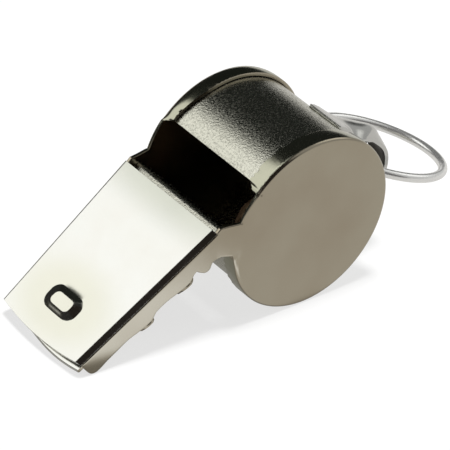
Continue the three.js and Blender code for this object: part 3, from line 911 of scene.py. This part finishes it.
def ring_lug():
    outline = sheet_outline(*lug_run())
    left, right = lug_side(0), lug_side(1)
    shares = [i / LUG_SLICES for i in range(LUG_SLICES + 1)]
    columns = [lambda y, z, share=share: left(y) + (right(y) - left(y)) * share for share in shares]
    vertices, faces = prism(outline, columns)
    crowned = []
    for x, y, z in vertices:
        share = 2 * (x - left(y)) / (right(y) - left(y)) - 1
        drop = lug_crown(y, z) * share ** 2
        reach = math.hypot(y, z)
        crowned.append((x, y * (1 - drop / reach), z * (1 - drop / reach)))
    strap = add_object("lug_strap", crowned, faces, LUG_METAL, "whistle_body", ["ring_lug"],
                       sharp=40.0, bevel=0.12, segments=3)
    # faces turned into the bow get the painted shade
    strap.data.materials.append(HOLLOW_SHADE_METAL)
    for face in strap.data.polygons:
        spot = Vector(face.center) / MM - AXIS
        inward = Vector((0, *LUG_HOLLOW)) - Vector((0, spot.y, spot.z))
        facing = face.normal.dot(inward.normalized())
        face.material_index = int(spot.y > LUG_HOLLOW_Y and facing > LUG_HOLLOW_FACING)
    return strap


def tube_faces(rows, around, closed):
    """Faces of a tube from its rows of vertices, joined end to end or capped."""
    faces = []
    for i in range(rows if closed else rows - 1):
        for k in range(around):
            a, b = i * around + k, i * around + (k + 1) % around
            c, d = (b + around) % (rows * around), (a + around) % (rows * around)
            faces.append((a, b, c, d))
    if not closed:
        faces.append(tuple(reversed(range(around))))
        faces.append(tuple((rows - 1) * around + k for k in range(around)))
    return faces


def solder_bead(name, degrees, direction, sides, seed):
    """Uneven fillet of solder along the cut end of a lug foot."""
    vertices = []
    for i in range(BEAD_STEPS + 1):
        x = sides[0] + (sides[1] - sides[0]) * i / BEAD_STEPS
        swell = 1.0 + BEAD_SWELL * noise.noise(Vector((x * BEAD_SWELL_SCALE, seed, 0.0)))
        end = abs(2 * i / BEAD_STEPS - 1) ** BEAD_END_POWER
        size = swell * math.sqrt(max(BEAD_END_LEAST, 1 - end))
        for k in range(BEAD_SIDES):
            angle = k / BEAD_SIDES * 2 * math.pi
            reach = BEAD_REACH * size * (0.5 + 0.5 * math.cos(angle)) - BEAD_BACK
            rise = BEAD_RISE * size * (0.5 + 0.5 * math.sin(angle)) - BEAD_SINK
            y, z = on_chamber(BARREL_RADIUS + rise, degrees + direction * reach)
            vertices.append((x, y, z))
    faces = tube_faces(BEAD_STEPS + 1, BEAD_SIDES, closed=False)
    return add_object(name + "_bead", vertices, faces, SOLDER_METAL, "whistle_body", [name],
                      sharp=70.0)


def wire_ring():
    vertices = []
    forward = Vector((0, math.cos(RING_DROOP), -math.sin(RING_DROOP)))
    above = Vector((0, math.sin(RING_DROOP), math.cos(RING_DROOP)))
    sideways = Vector((math.cos(RING_TILT), 0, 0)) + math.sin(RING_TILT) * above
    normal = sideways.cross(forward)
    middle = Vector(RING_EYE) + RING_RADIUS * forward
    for i in range(RING_STEPS):
        turn = i / RING_STEPS * 2 * math.pi
        spoke = math.cos(turn) * sideways + math.sin(turn) * forward
        for k in range(WIRE_STEPS):
            angle = k / WIRE_STEPS * 2 * math.pi
            reach = RING_RADIUS + RING_WIRE * math.cos(angle)
            vertices.append(tuple(middle + spoke * reach + normal * (RING_WIRE * math.sin(angle))))
    faces = tube_faces(RING_STEPS, WIRE_STEPS, closed=True)
    ring = add_object("lanyard_ring", vertices, faces, WIRE_METAL, "ring", ["wire_ring"],
                      sharp=60.0)
    ring.visible_shadow = False
    return ring


def cork_pea():
    work = bmesh.new()
    bmesh.ops.create_icosphere(work, subdivisions=5, radius=PEA_RADIUS - PEA_SHRINK)
    low, high = (Vector(corner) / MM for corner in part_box("pea"))
    centre = (low + high) / 2 - AXIS
    vertices = []
    for vertex in work.verts:
        lumps = sum(height * noise.noise(vertex.co * scale) for height, scale in PEA_LUMPS)
        pitted = noise.noise(vertex.co * PEA_PIT_SCALE + Vector((7, 3, 1)))
        pits = PEA_PITS * smoothstep(pitted, *PEA_PIT_RANGE)
        vertices.append(tuple(centre + vertex.co * (1 + (min(PEA_LUMP_LIMIT, lumps) + pits) / PEA_RADIUS)))
    faces = [tuple(v.index for v in face.verts) for face in work.faces]
    work.free()
    return add_object("cork_ball", vertices, faces, CORK, "pea", ["pea"], sharp=80.0)


# ---------- floor and light ----------

def direction_mask(nodes, links, place, direction, outer, inner):
    """1 inside a cone of the sky round a direction, fading to 0 between the two angles."""
    facing = dot_node(nodes, links, place, Vector(direction).normalized())
    edge, core = (math.cos(math.radians(angle)) for angle in (outer, inner))
    return fade_node(nodes, links, facing, edge, core, before=0.0, after=1.0)


# the sky that lights the whistle and that it reflects: plain, with soft boxes and dark cards that are
# placed for the camera's angle
SKY = (0.50, 0.50, 0.49)
DARK_CARD = (0.024, 0.020, 0.017)
STUDIO = (
    # direction in the frame, outer and inner angle, colour
    ((-0.62, -0.42, 0.66), 27, 17, (1.43, 1.43, 1.39)),
    ((0.09, 0.76, 0.65), 24, 16, (1.2, 1.2, 1.17)),
    ((-0.745, 0.401, 0.533), 43, 37, (0.020, 0.022, 0.020)),
    ((0.06, -0.47, 0.88), 26, 21, DARK_CARD),
    ((0.42, -0.42, 0.80), 26, 21, DARK_CARD),
    ((0.74, -0.30, 0.60), 26, 21, DARK_CARD),
    ((0.95, -0.08, 0.30), 26, 21, DARK_CARD),
    ((-0.98, 0.10, 0.0), 32, 24, (0.03, 0.03, 0.03)),
    ((-0.62, -0.78, -0.05), 30, 22, (0.04, 0.04, 0.035)),
    ((-0.94, -0.32, 0.09), 18, 12, (0.03, 0.03, 0.03)),
    ((-0.09, -0.86, 0.50), 20, 14, (0.03, 0.03, 0.03)),
    ((-0.36, -0.88, 0.25), 16, 10, (0.03, 0.03, 0.03)),
    ((-0.13, 0.0, 0.99), 13, 9, (0.03, 0.03, 0.03)),
)


def make_world():
    world = bpy.data.worlds.new("studio")
    bpy.context.scene.world = world
    world.use_nodes = True
    nodes, links = world.node_tree.nodes, world.node_tree.links
    place = nodes.new("ShaderNodeTexCoord").outputs["Generated"]
    light = SKY
    for direction, outer, inner, tone in STUDIO:
        mask = direction_mask(nodes, links, place, direction, outer, inner)
        light = mix_node(nodes, links, mask, light, tone)
    links.new(light, nodes["Background"].inputs["Color"])


FLOOR_HALF_SIZE = 3.0                # metres
PAPER_GLOW, PAPER_COLOUR = (0.70, 0.70, 0.70, 1.0), (0.30, 0.30, 0.30, 1.0)

# brightness of the floor as the metal reflects it
FLOOR_PLAIN = (0.75, 0.735, 0.71)
FLOOR_ZONES = (
    # colour, and limits of the zone: direction across the floor, and the distances along it in mm from
    # the chamber axis between which the zone fades out
    ((1.40, 1.46, 1.58),             # bright pool beside the right cheek
     (((-0.4, 1.0), (-14.6, -11.6)), ((-0.91, 0.414), (-19.5, -17.5)),
      ((1.0, 0.0), (16.0, 26.0)), ((-1.0, 0.0), (-10.8, -9.2)))),
    ((0.33, 0.32, 0.30),             # shade under the whistle
     (((1.0, 0.0), (8.6, 10.2)), ((-1.0, 0.0), (8.0, 14.0)),
      ((0.0, 1.0), (9.0, 15.0)), ((0.0, -1.0), (30.0, 36.0)))),
    ((0.05, 0.05, 0.045),            # dark beyond the whistle's left front
     (((1.0, 0.0), (-50.0, -30.0)), ((0.0, 1.0), (-75.0, -50.0)))),
)


def zone_mask(nodes, links, place, limits):
    """1 in a zone of the floor, fading to 0 past each of its limits."""
    mask = None
    for across, (start, end) in limits:
        along = dot_node(nodes, links, place, (*across, 0.0))
        origin = AXIS.x * across[0] + AXIS.y * across[1]
        side = fade_node(nodes, links, along, (origin + start) * MM, (origin + end) * MM)
        if mask:
            times = nodes.new("ShaderNodeMath")
            times.operation = "MULTIPLY"
            links.new(mask, times.inputs[0])
            links.new(side, times.inputs[1])
            side = times.outputs[0]
        mask = side
    return mask


def floor_material():
    """Pale paper to the camera, and zones of light and shade to every other ray."""
    material, nodes, links, shader = new_material("white_floor")
    nodes.remove(shader)
    paper = nodes.new("ShaderNodeAddShader")
    glow = nodes.new("ShaderNodeEmission")
    glow.inputs["Color"].default_value = PAPER_GLOW
    matt = nodes.new("ShaderNodeBsdfDiffuse")
    matt.inputs["Color"].default_value = PAPER_COLOUR
    links.new(glow.outputs[0], paper.inputs[0])
    links.new(matt.outputs[0], paper.inputs[1])
    place = nodes.new("ShaderNodeTexCoord").outputs["Object"]
    tone = FLOOR_PLAIN
    for colour, limits in FLOOR_ZONES:
        tone = mix_node(nodes, links, zone_mask(nodes, links, place, limits), tone, colour)
    reflected = nodes.new("ShaderNodeEmission")
    links.new(tone, reflected.inputs["Color"])
    choice = nodes.new("ShaderNodeMixShader")
    links.new(nodes.new("ShaderNodeLightPath").outputs["Is Camera Ray"], choice.inputs[0])
    links.new(reflected.outputs[0], choice.inputs[1])
    links.new(paper.outputs[0], choice.inputs[2])
    links.new(choice.outputs[0], nodes["Material Output"].inputs["Surface"])
    return material


def make_floor():
    size = FLOOR_HALF_SIZE
    mesh = bpy.data.meshes.new("floor")
    corners = [(-size, -size, 0), (size, -size, 0), (size, size, 0), (-size, size, 0)]
    mesh.from_pydata(corners, [], [(0, 1, 2, 3)])
    mesh.materials.append(floor_material())
    floor = bpy.data.objects.new("floor", mesh)
    bpy.context.scene.collection.objects.link(floor)


SUN_STRENGTH, SUN_SPREAD = 2.6, math.radians(12)


def make_light():
    """One soft overhead lamp, which the metal doesn't mirror."""
    sun = bpy.data.lights.new("overhead", "SUN")
    sun.energy = SUN_STRENGTH
    sun.angle = SUN_SPREAD
    lamp = bpy.data.objects.new("overhead", sun)
    lamp.visible_glossy = False
    bpy.context.scene.collection.objects.link(lamp)


# ---------- the whole scene ----------

make_camera()
make_world()
make_floor()
make_light()
bpy.context.scene.view_settings.view_transform = "Standard"

side_plate("side_plate_right", RIGHT)
side_plate("side_plate_left", LEFT)
barrel_strip()
windway_floor()
underside_plate()
mouthpiece_top()
ring_lug()
solder_bead("lug_solder_front", LUG_START, -1, LUG_FOOT_SIDES, seed=1.0)
solder_bead("lug_solder_rear", LUG_END, 1, LUG_REAR_SIDES, seed=5.0)
wire_ring()
cork_pea()
